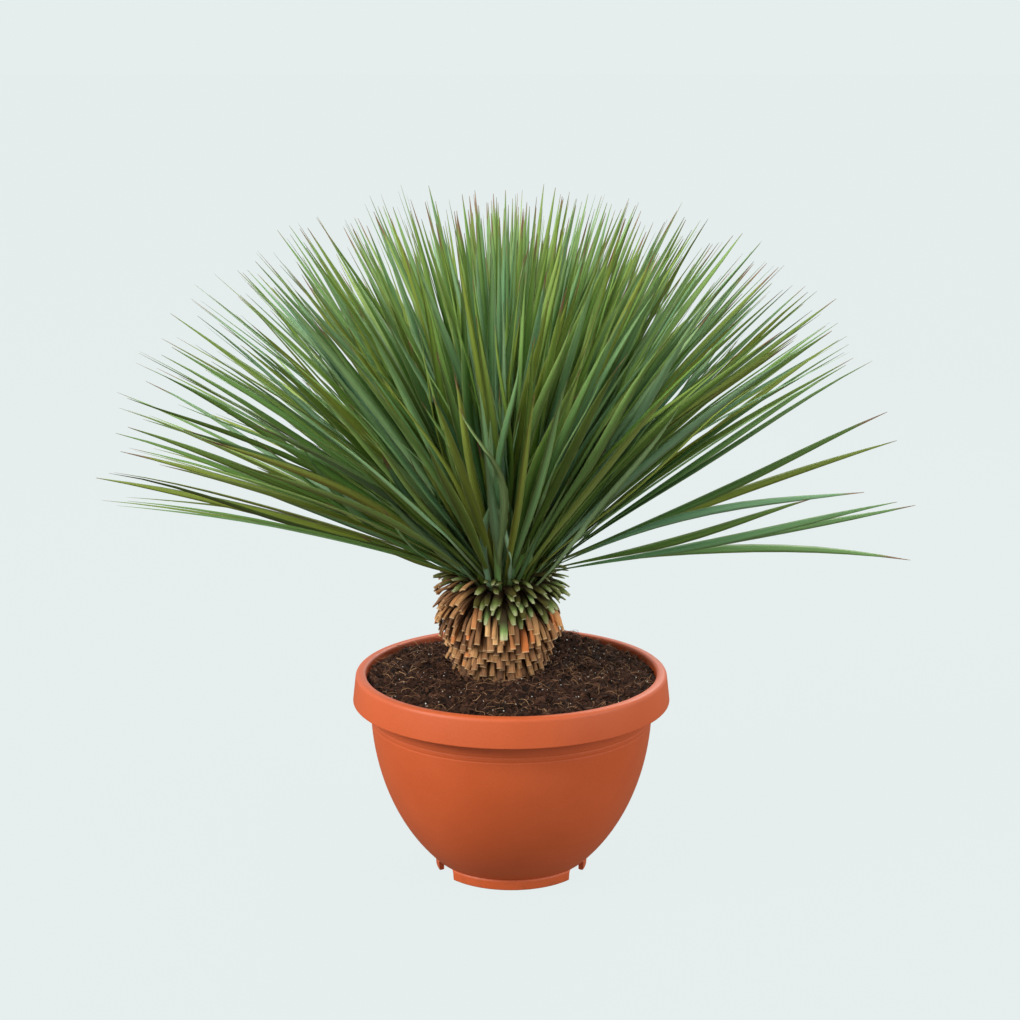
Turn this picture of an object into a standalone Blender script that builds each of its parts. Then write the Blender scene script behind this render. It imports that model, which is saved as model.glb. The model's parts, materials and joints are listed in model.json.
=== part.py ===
"""A potted yucca: a bowl pot, its soil, a stout trunk with cut leaf bases, and a round head of leaves.

Metres, +Z up. The origin is on the floor, on the pot's axis, and -Y is the front. The pieces are
faceted: the pot and the soil are turned, and the stubs and leaves are blades that grow from a core.
Run it with blender --background --python part.py, or in the text editor.
"""
import math
import random

import bmesh
import bpy
from mathutils import Vector, noise

for old_object in list(bpy.data.objects):
    bpy.data.objects.remove(old_object)

# Clearance between neighbouring pieces
GAP = 0.0003

# Pot: a moulded bowl pot, 350 mm across its rim
POT_HEIGHT = 0.2255
POT_SIDES = 36
RIM_RADIUS = 0.175
RIM_TOP_RADIUS = 0.171
RIM_DEPTH = 0.032
LIP_RADIUS = 0.1604
LIP_ROUND = 0.004
SKIRT_THICKNESS = 0.003
SKIRT_HOLLOW = 0.012
NECK_RADIUS = 0.1565
WALL = 0.0035
FOOT_RADIUS = 0.0852
FOOT_HEIGHT = 0.0123
FOOT_WIDTH = 0.006
FLOOR_UNDERSIDE = 0.011
FLOOR_CORNER = 0.006
# The bowl's side is a quarter of an ellipse that has its centre near the neck
BOWL_CENTRE_RADIUS = -0.0057
BOWL_CENTRE_HEIGHT = 0.1882
BOWL_REACH = 0.1613
BOWL_DROP = 0.2129
# Notches in the foot ring let out the water of the drain holes
NOTCH_AZIMUTHS = (-30, -150, 90)
NOTCH_WIDTH = 0.033
NOTCH_HEIGHT = 0.0117
DRAIN_COUNT = 3
DRAIN_RADIUS = 0.006
DRAIN_CIRCLE = 0.045

# Trunk: it stands a little left of the pot's axis, and its top is a paraboloid shoulder
TRUNK_X = -0.013
TRUNK_SIDES = 12
TRUNK_RADIUS = 0.056
TRUNK_FOOT_RADIUS = 0.040
TRUNK_FOOT_HEIGHT = 0.148
TRUNK_FOOT_BEVEL = 0.018
SHOULDER_HEIGHT = 0.320
SHOULDER_FALL = 5.0
SHINGLE_ROWS = 4
SHINGLES_IN_ROW = 15
STRAP_ROWS = 2
STRAPS_IN_ROW = 19
STUB_THICKNESS = 0.0028

# Soil: its level at the wall and at the trunk, and the mound behind the trunk
SOIL_EDGE_HEIGHT = 0.2175
SOIL_HEAP_HEIGHT = 0.2285
SOIL_HEAP_RADIUS = 0.060
SOIL_RELIEF = 0.004
SOIL_LUMP = 0.022
MOUND_PLACE = Vector((0.055, 0.090))
MOUND_HEIGHT = 0.016
MOUND_SPREAD = 0.035

# Collar of green stubs: root radius, root height, first and last pitch in degrees, and length
COLLAR_TOP = 0.330
COLLAR_RADIUS = 0.050
GREEN_STUBS_IN_ROW = 17
GREEN_ROWS = (
    (0.044, 0.3135, -24, -44, 0.031),
    (0.042, 0.3195, -14, -26, 0.032),
    (0.040, 0.3262, -3, -8, 0.035),
)

# Leaf head: the crown is half an ellipsoid, and the leaves' roots lie in it, spread evenly
CROWN_X = -0.009
CROWN_RADIUS = 0.047
CROWN_HEIGHT = 0.032
CROWN_SIDES = 10
CROWN_RINGS = 6
ROOT_DEPTH = 0.8
LOWEST_ROOT = 0.08
LEAF_COUNT = 384
LEAF_LENGTH = 0.385
LEAF_WIDTH = 0.0112
LEAF_KEEL = 0.0018
THINNEST_KEEL = 0.0009
LEAF_STOPS = (0.0, 0.34, 0.72, 1.0)
WIDEST_AT = 0.45
GOLDEN_ANGLE = math.pi * (3 - math.sqrt(5))
# The lowest leaves on each side, in degrees above level
LOWEST_RIGHT, LOWEST_BACK, LOWEST_LEFT, LOWEST_FRONT = 33, 36, 12, 37
# Seven low leaves stand apart on the right: azimuth, elevation and bend in degrees, and length
STRAY_LEAVES = (
    (-2, 25.5, 2, 0.416),
    (6, 19, 7.5, 0.423),
    (-24, 19, 17.5, 0.386),
    (2, 15, 0, 0.312),
    (-12, 14.5, 1, 0.397),
    (4, 9.5, -2.5, 0.424),
    (-4, 3.5, 24.5, 0.408),
)
# How far leaves are rolled over, in radians: a usual spread, and the most
USUAL_ROLL = 0.6
MOST_ROLL = 0.95


def new_collection(name):
    collection = bpy.data.collections.new(name)
    bpy.context.scene.collection.children.link(collection)
    return collection


YUCCA = new_collection("potted yucca")
CUTTERS = new_collection("cutters")
GROWING = new_collection("pieces to join")


def new_material(name, colour, roughness):
    material = bpy.data.materials.new(name)
    material.use_nodes = True
    shader = material.node_tree.nodes["Principled BSDF"]
    shader.inputs["Base Color"].default_value = (*colour, 1.0)
    shader.inputs["Roughness"].default_value = roughness
    shader.inputs["Metallic"].default_value = 0.0
    return material


def add_object(name, mesh, collection, material=None):
    new_object = bpy.data.objects.new(name, mesh)
    collection.objects.link(new_object)
    if material:
        mesh.materials.append(material)
    return new_object


def evaluated_mesh(source):
    """The mesh that an object's modifiers make, as a mesh of its own."""
    bpy.context.view_layer.update()
    graph = bpy.context.evaluated_depsgraph_get()
    return bpy.data.meshes.new_from_object(source.evaluated_get(graph))


def turned(name, profile, sides, collection, material=None):
    """Turns a profile of (radius, height) points about Z. Its outer side runs from top to bottom."""
    mesh = bpy.data.meshes.new(name)
    edges = [(i, i + 1) for i in range(len(profile) - 1)]
    mesh.from_pydata([(radius, 0, height) for radius, height in profile], edges, [])
    outline = add_object(name + " outline", mesh, collection)
    screw = outline.modifiers.new("Turn", "SCREW")
    screw.steps = sides
    screw.render_steps = sides
    screw.use_merge_vertices = True
    screw.merge_threshold = 0.00001
    solid_mesh = evaluated_mesh(outline)
    bpy.data.objects.remove(outline)
    return add_object(name, solid_mesh, collection, material)


def turned_core(name, profile):
    """A turned stretch of the stem, on the trunk's own axis, for stubs to grow from."""
    core = turned(name, profile, TRUNK_SIDES, CUTTERS)
    for vert in core.data.vertices:
        vert.co.x += TRUNK_X
    return core


def add_stretch_side(bm, near, after_near, after_far, far, middle):
    """One side of a lofted stretch, folded outward, so that a twisted blade keeps its thickness."""
    corners = (near, after_near, after_far, far)
    outward = (after_far.co - near.co).cross(far.co - after_near.co)
    if outward.dot(near.co - middle) < 0:
        outward.negate()
    if (near.co + after_far.co - after_near.co - far.co).dot(outward) < 0:
        corners = (after_near, after_far, far, near)
    bm.faces.new(corners[:3])
    bm.faces.new((corners[0], corners[2], corners[3]))


def lofted(name, sections, collection):
    """A closed solid through like sections. A last section of one point is a tip."""
    bm = bmesh.new()
    rings = [[bm.verts.new(point) for point in section] for section in sections]
    bm.faces.new(rings[0])
    for ring, following in zip(rings, rings[1:]):
        middle = sum((vert.co for vert in ring + following), Vector()) / len(ring + following)
        for i in range(len(ring)):
            j = (i + 1) % len(ring)
            if len(following) == 1:
                bm.faces.new((ring[i], ring[j], following[0]))
            else:
                add_stretch_side(bm, ring[i], ring[j], following[j], following[i], middle)
    if len(rings[-1]) > 1:
        bm.faces.new(rings[-1])
    bmesh.ops.triangulate(bm, faces=bm.faces)
    bmesh.ops.recalc_face_normals(bm, faces=bm.faces)
    mesh = bpy.data.meshes.new(name)
    bm.to_mesh(mesh)
    bm.free()
    return add_object(name, mesh, collection)


def keep_one_body(mesh, flatness):
    """Drops loose scraps and the walls of sealed hollows, and merges faces that meet nearly flat."""
    bm = bmesh.new()
    bm.from_mesh(mesh)
    bmesh.ops.remove_doubles(bm, verts=bm.verts, dist=0.000002)
    unseen = set(bm.faces)
    groups = []
    while unseen:
        group = [unseen.pop()]
        for face in group:
            shared = [edge for edge in face.edges if len(edge.link_faces) == 2]
            for other in {other for edge in shared for other in edge.link_faces} & unseen:
                unseen.remove(other)
                group.append(other)
        groups.append(group)
    groups.sort(key=len)
    for group in groups[:-1]:
        bmesh.ops.delete(bm, geom=group, context="FACES")
    if flatness:
        bmesh.ops.dissolve_limit(bm, angle_limit=flatness, verts=bm.verts, edges=bm.edges)
    bmesh.ops.triangulate(bm, faces=bm.faces)
    bm.to_mesh(mesh)
    bm.free()


def grown_together(core, name, material, flatness=0.002):
    """Joins all that grows from the core to it, in one Boolean union on their collection."""
    union = core.modifiers.new("Join", "BOOLEAN")
    union.operation = "UNION"
    union.operand_type = "COLLECTION"
    union.collection = GROWING
    union.solver = "MANIFOLD"
    mesh = evaluated_mesh(core)
    bpy.data.objects.remove(core)
    for piece in list(GROWING.objects):
        bpy.data.objects.remove(piece)
    keep_one_body(mesh, flatness)
    mesh.materials.clear()
    return add_object(name, mesh, YUCCA, material)


def blade_axes(azimuth, elevation, roll=0.0):
    """Direction, side and upper-face normal of a blade that points along two angles."""
    outward = Vector((math.cos(azimuth), math.sin(azimuth), 0))
    level_side = Vector((-math.sin(azimuth), math.cos(azimuth), 0))
    direction = outward * math.cos(elevation) + Vector((0, 0, math.sin(elevation)))
    upward = direction.cross(level_side)
    side = level_side * math.cos(roll) + upward * math.sin(roll)
    normal = upward * math.cos(roll) - level_side * math.sin(roll)
    return direction, side, normal


# Pot
def bowl_radius(height, inset=0.0):
    rise = (BOWL_CENTRE_HEIGHT - height) / (BOWL_DROP - inset)
    return BOWL_CENTRE_RADIUS + (BOWL_REACH - inset) * math.sqrt(1 - rise * rise)


def bowl_side(low, stretches, inset=0.0):
    """Points up the bowl's side to its neck, closer together near the foot, where it curves most."""
    heights = [low + (BOWL_CENTRE_HEIGHT - low) * (i / stretches) ** 1.5 for i in range(stretches + 1)]
    return [(bowl_radius(height, inset), height) for height in heights]


def pot_profile():
    """From the middle of the floor, up the inside, over the lip, and down the outside to the foot."""
    rim_bottom = POT_HEIGHT - RIM_DEPTH
    floor_top = FLOOR_UNDERSIDE + WALL
    inside = bowl_side(floor_top + FLOOR_CORNER, 4, WALL)
    outside = bowl_side(FOOT_HEIGHT, 5)
    foot_inner_radius = FOOT_RADIUS - FOOT_WIDTH
    return (
        [(0, floor_top), (inside[0][0] - 2 * FLOOR_CORNER, floor_top)]
        + inside
        + [
            (LIP_RADIUS, POT_HEIGHT - LIP_ROUND),
            (LIP_RADIUS + LIP_ROUND * 0.6, POT_HEIGHT),
            (RIM_TOP_RADIUS - LIP_ROUND * 0.7, POT_HEIGHT),
            (RIM_TOP_RADIUS, POT_HEIGHT - LIP_ROUND),
            (RIM_RADIUS, rim_bottom),
            (RIM_RADIUS - SKIRT_THICKNESS, rim_bottom),
            (RIM_RADIUS - SKIRT_THICKNESS, rim_bottom + SKIRT_HOLLOW),
            (NECK_RADIUS, rim_bottom + SKIRT_HOLLOW),
        ]
        + outside[::-1]
        + [
            (FOOT_RADIUS, 0),
            (foot_inner_radius, 0),
            (foot_inner_radius, FLOOR_UNDERSIDE),
            (0, FLOOR_UNDERSIDE),
        ]
    )


def add_cutter(name, bm):
    mesh = bpy.data.meshes.new(name)
    bm.to_mesh(mesh)
    bm.free()
    cutter = add_object(name, mesh, CUTTERS)
    cutter.hide_render = True
    cutter.display_type = "WIRE"
    return cutter


def add_notch_cutters():
    """Blocks across the foot ring, from under the floor to just above the ring's root."""
    width = 3 * FOOT_WIDTH
    reach = FOOT_RADIUS - FOOT_WIDTH - 0.0015 + width / 2
    for number, degrees in enumerate(NOTCH_AZIMUTHS):
        bm = bmesh.new()
        bmesh.ops.create_cube(bm, size=1)
        bmesh.ops.scale(bm, vec=(width, NOTCH_WIDTH, 2 * NOTCH_HEIGHT), verts=bm.verts)
        notch = add_cutter(f"notch cutter {number}", bm)
        turn = math.radians(degrees)
        notch.location = (reach * math.cos(turn), reach * math.sin(turn), 0)
        notch.rotation_euler.z = turn


def add_drain_cutters():
    for number in range(DRAIN_COUNT):
        bm = bmesh.new()
        bmesh.ops.create_cone(
            bm, cap_ends=True, segments=8, radius1=DRAIN_RADIUS, radius2=DRAIN_RADIUS, depth=4 * WALL
        )
        drain = add_cutter(f"drain cutter {number}", bm)
        turn = math.tau * (number + 0.5) / DRAIN_COUNT
        middle = FLOOR_UNDERSIDE + WALL / 2
        drain.location = (DRAIN_CIRCLE * math.cos(turn), DRAIN_CIRCLE * math.sin(turn), middle)


def add_pot():
    plastic = new_material("terracotta plastic", (0.46, 0.085, 0.03), 0.45)
    pot = turned("pot", pot_profile(), POT_SIDES, YUCCA, plastic)
    add_notch_cutters()
    add_drain_cutters()
    openings = pot.modifiers.new("Notches and drain holes", "BOOLEAN")
    openings.operation = "DIFFERENCE"
    openings.operand_type = "COLLECTION"
    openings.collection = CUTTERS
    # EXACT leaves this pot open along its foot ring
    openings.solver = "MANIFOLD"


# Soil
def soil_profile():
    """From the bottom of the trunk's hole, up and over the heap, and down the wall to the floor."""
    hole = TRUNK_FOOT_RADIUS + GAP
    hole_floor = TRUNK_FOOT_HEIGHT - GAP
    floor_top = FLOOR_UNDERSIDE + WALL + GAP
    inset = WALL + 1.6 * GAP
    side = bowl_side(floor_top + FLOOR_CORNER, 4, inset)
    edge_radius = side[-1][0]
    surface = []
    for share in (0, 0.24, 0.48, 0.72, 0.95, 1):
        radius = SOIL_HEAP_RADIUS + (edge_radius - SOIL_HEAP_RADIUS) * share
        height = SOIL_HEAP_HEIGHT + (SOIL_EDGE_HEIGHT - SOIL_HEAP_HEIGHT) * share**1.4
        surface.append((radius, height))
    return (
        [(0, hole_floor), (hole - TRUNK_FOOT_BEVEL, hole_floor)]
        + [(hole, hole_floor + TRUNK_FOOT_BEVEL), (hole, SOIL_HEAP_HEIGHT)]
        + surface
        + side[::-1]
        + [(side[0][0] - 2 * FLOOR_CORNER, floor_top), (0, floor_top)]
    )


def add_soil():
    """Turned like the pot, then its surface is lumped, and its hole moved under the trunk."""
    crumbs = new_material("soil", (0.035, 0.02, 0.013), 0.95)
    soil = turned("soil", soil_profile(), POT_SIDES, YUCCA, crumbs)
    wall_radius = bowl_radius(BOWL_CENTRE_HEIGHT, WALL)
    for vert in soil.data.vertices:
        radius = math.hypot(vert.co.x, vert.co.y)
        on_surface = vert.co.z > SOIL_EDGE_HEIGHT - GAP
        if on_surface and SOIL_HEAP_RADIUS + 0.01 < radius < wall_radius - 0.002:
            away = (vert.co.xy - MOUND_PLACE).length / MOUND_SPREAD
            vert.co.z += SOIL_RELIEF * noise.noise(vert.co / SOIL_LUMP)
            vert.co.z += MOUND_HEIGHT * math.exp(-away * away)
        if vert.co.z > TRUNK_FOOT_HEIGHT - 2 * GAP:
            inward = (0.95 * wall_radius - radius) / (0.95 * wall_radius - SOIL_HEAP_RADIUS)
            vert.co.x += TRUNK_X * min(max(inward, 0), 1)


# Trunk
def shoulder(radius):
    """The height of the rounded shoulder on which green stubs meet brown ones."""
    return SHOULDER_HEIGHT - SHOULDER_FALL * radius * radius


def trunk_profile():
    return [(radius, shoulder(radius) - GAP) for radius in (0, 0.020, 0.036, 0.048)] + [
        (TRUNK_RADIUS, 0.296),
        (TRUNK_RADIUS, 0.276),
        (0.0535, 0.256),
        (0.0485, 0.236),
        (TRUNK_FOOT_RADIUS, SOIL_HEAP_HEIGHT + 0.001),
        (TRUNK_FOOT_RADIUS, TRUNK_FOOT_HEIGHT + TRUNK_FOOT_BEVEL),
        (TRUNK_FOOT_RADIUS - TRUNK_FOOT_BEVEL, TRUNK_FOOT_HEIGHT),
        (0, TRUNK_FOOT_HEIGHT),
    ]


def add_stub(azimuth, radius, height, pitches, length, width):
    """A flat cut leaf base from inside the stem outward, with one straight stretch for each pitch."""
    point = Vector((TRUNK_X + radius * math.cos(azimuth), radius * math.sin(azimuth), height))
    sections = []
    for number, pitch in enumerate([pitches[0], *pitches]):
        direction, side, normal = blade_axes(azimuth, math.radians(pitch))
        if number > 0:
            point = point + direction * (length / len(pitches))
        half = side * width / 2
        under = normal * STUB_THICKNESS
        sections.append([point - half, point + half, point + half - under, point - half - under])
    lofted("stub", sections, GROWING)


def row_azimuth(row, number, count, stray):
    """Places round a row, where each second row is set half a step on."""
    return math.tau * (number + 0.5 * (row % 2) + stray) / count


def add_trunk():
    """Short shingle-like stubs below, and two rows of longer straps that hang over them."""
    rng = random.Random(7)
    core = turned_core("trunk core", trunk_profile())
    for row in range(SHINGLE_ROWS):
        height = 0.2522 + 0.0112 * row
        radius = 0.0455 + 0.0022 * row
        for number in range(SHINGLES_IN_ROW):
            azimuth = row_azimuth(row, number, SHINGLES_IN_ROW, rng.uniform(-0.12, 0.12))
            pitch = -66 + rng.uniform(-4, 4)
            length = 0.021 + rng.uniform(-0.002, 0.002)
            add_stub(azimuth, radius, height, [pitch], length, rng.uniform(0.0115, 0.0140))
    for row in range(STRAP_ROWS):
        height = 0.2925 + 0.0065 * row
        radius = 0.048 - 0.002 * row
        for number in range(STRAPS_IN_ROW):
            azimuth = row_azimuth(row, number, STRAPS_IN_ROW, rng.uniform(-0.15, 0.15))
            pitches = [-40 + 13 * row + rng.uniform(-3, 3), -63 + rng.uniform(-4, 4)]
            length = 0.034 + rng.uniform(-0.004, 0.004)
            add_stub(azimuth, radius, height, pitches, length, rng.uniform(0.0100, 0.0120))
    grown_together(core, "trunk", new_material("dead leaf bases", (0.42, 0.23, 0.11), 0.8))


# Collar
def add_collar():
    rng = random.Random(11)
    under = [(radius, shoulder(radius) + GAP) for radius in (COLLAR_RADIUS, 0.036, 0.020, 0)]
    top = [(0, COLLAR_TOP), (0.8 * COLLAR_RADIUS, COLLAR_TOP), (COLLAR_RADIUS, COLLAR_TOP - 0.008)]
    core = turned_core("collar core", top + under)
    for row, (radius, height, first, last, usual_length) in enumerate(GREEN_ROWS):
        for number in range(GREEN_STUBS_IN_ROW):
            azimuth = row_azimuth(row, number, GREEN_STUBS_IN_ROW, rng.uniform(-0.12, 0.12))
            pitches = [first + rng.uniform(-2, 2), last + rng.uniform(-3, 3)]
            length = usual_length + rng.uniform(-0.004, 0.004)
            add_stub(azimuth, radius, height, pitches, length, rng.uniform(0.0075, 0.0095))
    grown_together(core, "green_collar", new_material("green leaf bases", (0.16, 0.22, 0.08), 0.6))


# Leaf head
def lowest_elevation(azimuth):
    """A smooth rule through the four sides' lowest leaves, in radians."""
    mean = (LOWEST_RIGHT + LOWEST_BACK + LOWEST_LEFT + LOWEST_FRONT) / 4
    right_left = (LOWEST_RIGHT - LOWEST_LEFT) / 2 * math.cos(azimuth)
    back_front = (LOWEST_BACK - LOWEST_FRONT) / 2 * math.sin(azimuth)
    corners = (LOWEST_RIGHT + LOWEST_LEFT - LOWEST_BACK - LOWEST_FRONT) / 4 * math.cos(2 * azimuth)
    return math.radians(mean + right_left + back_front + corners)


def usual_length(elevation):
    """Leaves are longest at middle heights, and the young upright ones shortest."""
    return LEAF_LENGTH + 0.010 * math.cos(elevation) + 0.045 * math.sin(2 * elevation)


def leaf_width(along):
    """Share of the full width: narrow above the base, widest near the middle, then a long taper."""
    if along < WIDEST_AT:
        return 0.42 + 0.58 * math.sin(math.pi / 2 * along / WIDEST_AT)
    return 1 - ((along - WIDEST_AT) / (1 - WIDEST_AT)) ** 1.8


def crown_point(azimuth, rise):
    """A root's place in the crown, a share of the way up it, below its skin."""
    reach = ROOT_DEPTH * CROWN_RADIUS * math.sqrt(1 - rise * rise)
    height = COLLAR_TOP + GAP + ROOT_DEPTH * CROWN_HEIGHT * rise
    return Vector((CROWN_X + reach * math.cos(azimuth), reach * math.sin(azimuth), height))


def add_leaf(azimuth, rise, elevation, bend, length, roll, sway):
    """A keeled blade: two edges and a keel below, on a centre line that bends outward.

    The blade lies flat at its root, and is rolled fully over by the middle of its length.
    """
    point = crown_point(azimuth, rise)
    sections = []
    before = 0.0
    for along in LEAF_STOPS:
        middle = (along + before) / 2
        direction, _, _ = blade_axes(azimuth + sway * middle, elevation + bend * (0.5 - middle))
        point = point + direction * length * (along - before)
        before = along
        if along == 1.0:
            sections.append([point])
            continue
        turned_by = roll * min(2 * along, 1)
        _, side, normal = blade_axes(azimuth + sway * along, elevation + bend * (0.5 - along), turned_by)
        half = side * LEAF_WIDTH * leaf_width(along) / 2
        keel = max(LEAF_KEEL * (1 - 0.55 * along), THINNEST_KEEL)
        sections.append([point - half, point + half, point - normal * keel])
    lofted("leaf", sections, GROWING)


def crown_core():
    """The upper half of an ellipsoid, flat where it sits on the collar."""
    base = COLLAR_TOP + GAP
    bm = bmesh.new()
    bmesh.ops.create_uvsphere(bm, u_segments=CROWN_SIDES, v_segments=CROWN_RINGS, radius=CROWN_RADIUS)
    bmesh.ops.scale(bm, vec=(1, 1, CROWN_HEIGHT / CROWN_RADIUS), verts=bm.verts)
    bmesh.ops.translate(bm, vec=(CROWN_X, 0, base), verts=bm.verts)
    everything = bm.verts[:] + bm.edges[:] + bm.faces[:]
    below = {"plane_co": (0, 0, base), "plane_no": (0, 0, -1), "clear_outer": True}
    sliced = bmesh.ops.bisect_plane(bm, geom=everything, **below)
    rim = [part for part in sliced["geom_cut"] if isinstance(part, bmesh.types.BMEdge)]
    bmesh.ops.contextual_create(bm, geom=rim)
    bmesh.ops.recalc_face_normals(bm, faces=bm.faces)
    mesh = bpy.data.meshes.new("crown")
    bm.to_mesh(mesh)
    bm.free()
    return add_object("crown", mesh, CUTTERS)


def add_leaf_head():
    """The golden angle from leaf to leaf, and equal steps of height, spread the leaves evenly."""
    rng = random.Random(2)
    core = crown_core()
    for number in range(LEAF_COUNT):
        azimuth = number * GOLDEN_ANGLE + rng.uniform(-0.06, 0.06)
        lowest = math.sin(lowest_elevation(azimuth))
        share = (number + 0.5) / LEAF_COUNT
        elevation = math.asin(lowest + (1 - lowest) * share) + rng.uniform(-0.025, 0.025)
        rise = LOWEST_ROOT + (1 - LOWEST_ROOT) * share
        bend = math.radians(5 + 9 * math.cos(elevation)) * rng.uniform(0.8, 1.2)
        length = usual_length(elevation) * rng.uniform(0.93, 1.005)
        roll = min(max(rng.gauss(0, USUAL_ROLL), -MOST_ROLL), MOST_ROLL)
        add_leaf(azimuth, rise, elevation, bend, length, roll, rng.uniform(-0.03, 0.03))
    for degrees_round, degrees_up, degrees_bent, length in STRAY_LEAVES:
        elevation = math.radians(degrees_up)
        rise = LOWEST_ROOT + elevation / 2
        azimuth, bend = math.radians(degrees_round), math.radians(degrees_bent)
        add_leaf(azimuth, rise, elevation, bend, length, MOST_ROLL, 0)
    grown_together(core, "leaf_head", new_material("leaf green", (0.09, 0.17, 0.09), 0.5), 0)


add_pot()
add_soil()
add_trunk()
add_collar()
add_leaf_head()
bpy.data.collections.remove(GROWING)
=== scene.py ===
"""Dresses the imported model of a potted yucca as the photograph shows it: bowl pot, soil, trunk, leaves.

Lengths are in metres. Z is up, the pot stands on z = 0 with its axis on the Z axis.
"""

import json
import math
import random

import bmesh
import bpy
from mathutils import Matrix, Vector, noise

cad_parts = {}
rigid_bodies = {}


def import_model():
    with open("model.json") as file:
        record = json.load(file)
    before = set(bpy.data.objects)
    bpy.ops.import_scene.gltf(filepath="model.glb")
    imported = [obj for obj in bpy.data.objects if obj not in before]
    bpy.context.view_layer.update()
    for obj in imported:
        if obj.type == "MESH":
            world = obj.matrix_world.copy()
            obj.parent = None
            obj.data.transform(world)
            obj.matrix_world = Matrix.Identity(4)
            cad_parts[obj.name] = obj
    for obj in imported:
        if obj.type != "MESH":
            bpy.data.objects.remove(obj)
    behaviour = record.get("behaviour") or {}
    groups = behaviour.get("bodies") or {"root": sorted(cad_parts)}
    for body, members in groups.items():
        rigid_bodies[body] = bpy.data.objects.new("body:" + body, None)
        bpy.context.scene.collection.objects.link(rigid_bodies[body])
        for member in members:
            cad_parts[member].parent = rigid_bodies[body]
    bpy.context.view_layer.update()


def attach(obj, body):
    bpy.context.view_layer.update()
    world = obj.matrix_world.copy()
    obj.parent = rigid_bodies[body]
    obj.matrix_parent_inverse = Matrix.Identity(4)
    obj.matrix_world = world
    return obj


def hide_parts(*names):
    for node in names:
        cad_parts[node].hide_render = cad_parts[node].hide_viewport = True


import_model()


# Pot: a bowl of terracotta-coloured plastic, moulded in one piece. Its rim is hollow below, its
# foot ring has three notches that let water out, and two fine grooves run round below the rim.
POT_HEIGHT = 0.2255
POT_SIDES = 160
ROUNDING_STEPS = 5
RIM_RADIUS = 0.175
RIM_TOP_RADIUS = 0.1713
RIM_BOTTOM = 0.1935
LIP_RADIUS = 0.1598
NECK_RADIUS = 0.1565
WALL = 0.0035
FOOT_RADIUS = 0.0852
FOOT_HEIGHT = 0.0123
FOOT_WIDTH = 0.006
FLOOR_UNDERSIDE = 0.011
BOWL_CENTRE_RADIUS = -0.0057
BOWL_CENTRE_HEIGHT = 0.1882
BOWL_REACH = 0.1613
BOWL_DROP = 0.2129
GROOVE_HEIGHTS = (0.1772, 0.1716)
GROOVE_DEPTH = 0.00035
GROOVE_WIDTH = 0.0009
NOTCH_AZIMUTHS = (-30, -150, 90)
NOTCH_WIDTH = 0.033
NOTCH_HEIGHT = 0.0117
DRAIN_COUNT = 3
DRAIN_RADIUS = 0.006
DRAIN_CIRCLE = 0.045


def paint(red, green, blue):
    """A colour from its 0 to 255 screen values, as the shader wants it."""
    parts = [part / 255 for part in (red, green, blue)]
    linear = [part / 12.92 if part <= 0.04045 else ((part + 0.055) / 1.055) ** 2.4 for part in parts]
    return (*linear, 1.0)


def add_node(tree, kind, inputs, settings):
    """A new node in a tree, with its settings made and its inputs set or linked."""
    made = tree.nodes.new(kind)
    for key, value in settings.items():
        setattr(made, key, value)
    for key, value in dict(inputs).items():
        if isinstance(value, bpy.types.NodeSocket):
            tree.links.new(value, made.inputs[key])
        else:
            made.inputs[key].default_value = value
    return made


class Finish:
    """A material with one Principled shader, and short names for the nodes that feed it."""

    def __init__(self, name, roughness, specular=0.5):
        self.material = bpy.data.materials.new(name)
        self.material.use_nodes = True
        self.tree = self.material.node_tree
        self.shader = self.tree.nodes["Principled BSDF"]
        self.shader.inputs["Roughness"].default_value = roughness
        self.shader.inputs["Specular IOR Level"].default_value = specular

    def node(self, kind, inputs=(), **settings):
        return add_node(self.tree, "ShaderNode" + kind, inputs, settings)

    def place(self):
        return self.node("TexCoord").outputs["Object"]

    def stretched(self, place, scale):
        return self.node("Mapping", {"Vector": place, "Scale": scale}).outputs["Vector"]

    def speckle(self, place, scale, detail=4.0, roughness=0.6):
        settings = {"Vector": place, "Scale": scale, "Detail": detail, "Roughness": roughness}
        return self.node("TexNoise", settings).outputs["Fac"]

    def ramp(self, value, *stops):
        """Turns a number into a colour or, with plain numbers as stops, into another number."""
        made = self.node("ValToRGB", {"Fac": value})
        elements = made.color_ramp.elements
        while len(elements) < len(stops):
            elements.new(1.0)
        for element, (position, colour) in zip(elements, stops):
            element.position = position
            element.color = colour if isinstance(colour, tuple) else (colour, colour, colour, 1.0)
        return made.outputs["Color"]

    def number(self, name):
        return self.node("Attribute", attribute_name=name).outputs["Fac"]

    def reckon(self, operation, first, second):
        return self.node("Math", {0: first, 1: second}, operation=operation).outputs[0]

    def blend(self, share, first, second, how="MIX"):
        colours = {6: first, 7: second}
        made = self.node("Mix", {"Factor": share, **colours}, data_type="RGBA", blend_type=how)
        return made.outputs[2]

    def finish(self, colour, height=None, depth=0.0, roughness=None):
        self.tree.links.new(colour, self.shader.inputs["Base Color"])
        if height:
            bump = self.node("Bump", {"Height": height, "Distance": depth})
            self.tree.links.new(bump.outputs["Normal"], self.shader.inputs["Normal"])
        if roughness:
            self.tree.links.new(roughness, self.shader.inputs["Roughness"])
        return self.material


def new_object(name, data, material=None):
    made = bpy.data.objects.new(name, data)
    bpy.context.scene.collection.objects.link(made)
    if material:
        data.materials.append(material)
    return made


def mesh_from(bm, name):
    mesh = bpy.data.meshes.new(name)
    bm.to_mesh(mesh)
    bm.free()
    return mesh


def made_plain(source, name):
    """Turns what an object's modifiers make into a plain mesh object, and removes the source."""
    bpy.context.view_layer.update()
    graph = bpy.context.evaluated_depsgraph_get()
    mesh = bpy.data.meshes.new_from_object(source.evaluated_get(graph))
    bpy.data.objects.remove(source)
    return new_object(name, mesh)


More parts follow.
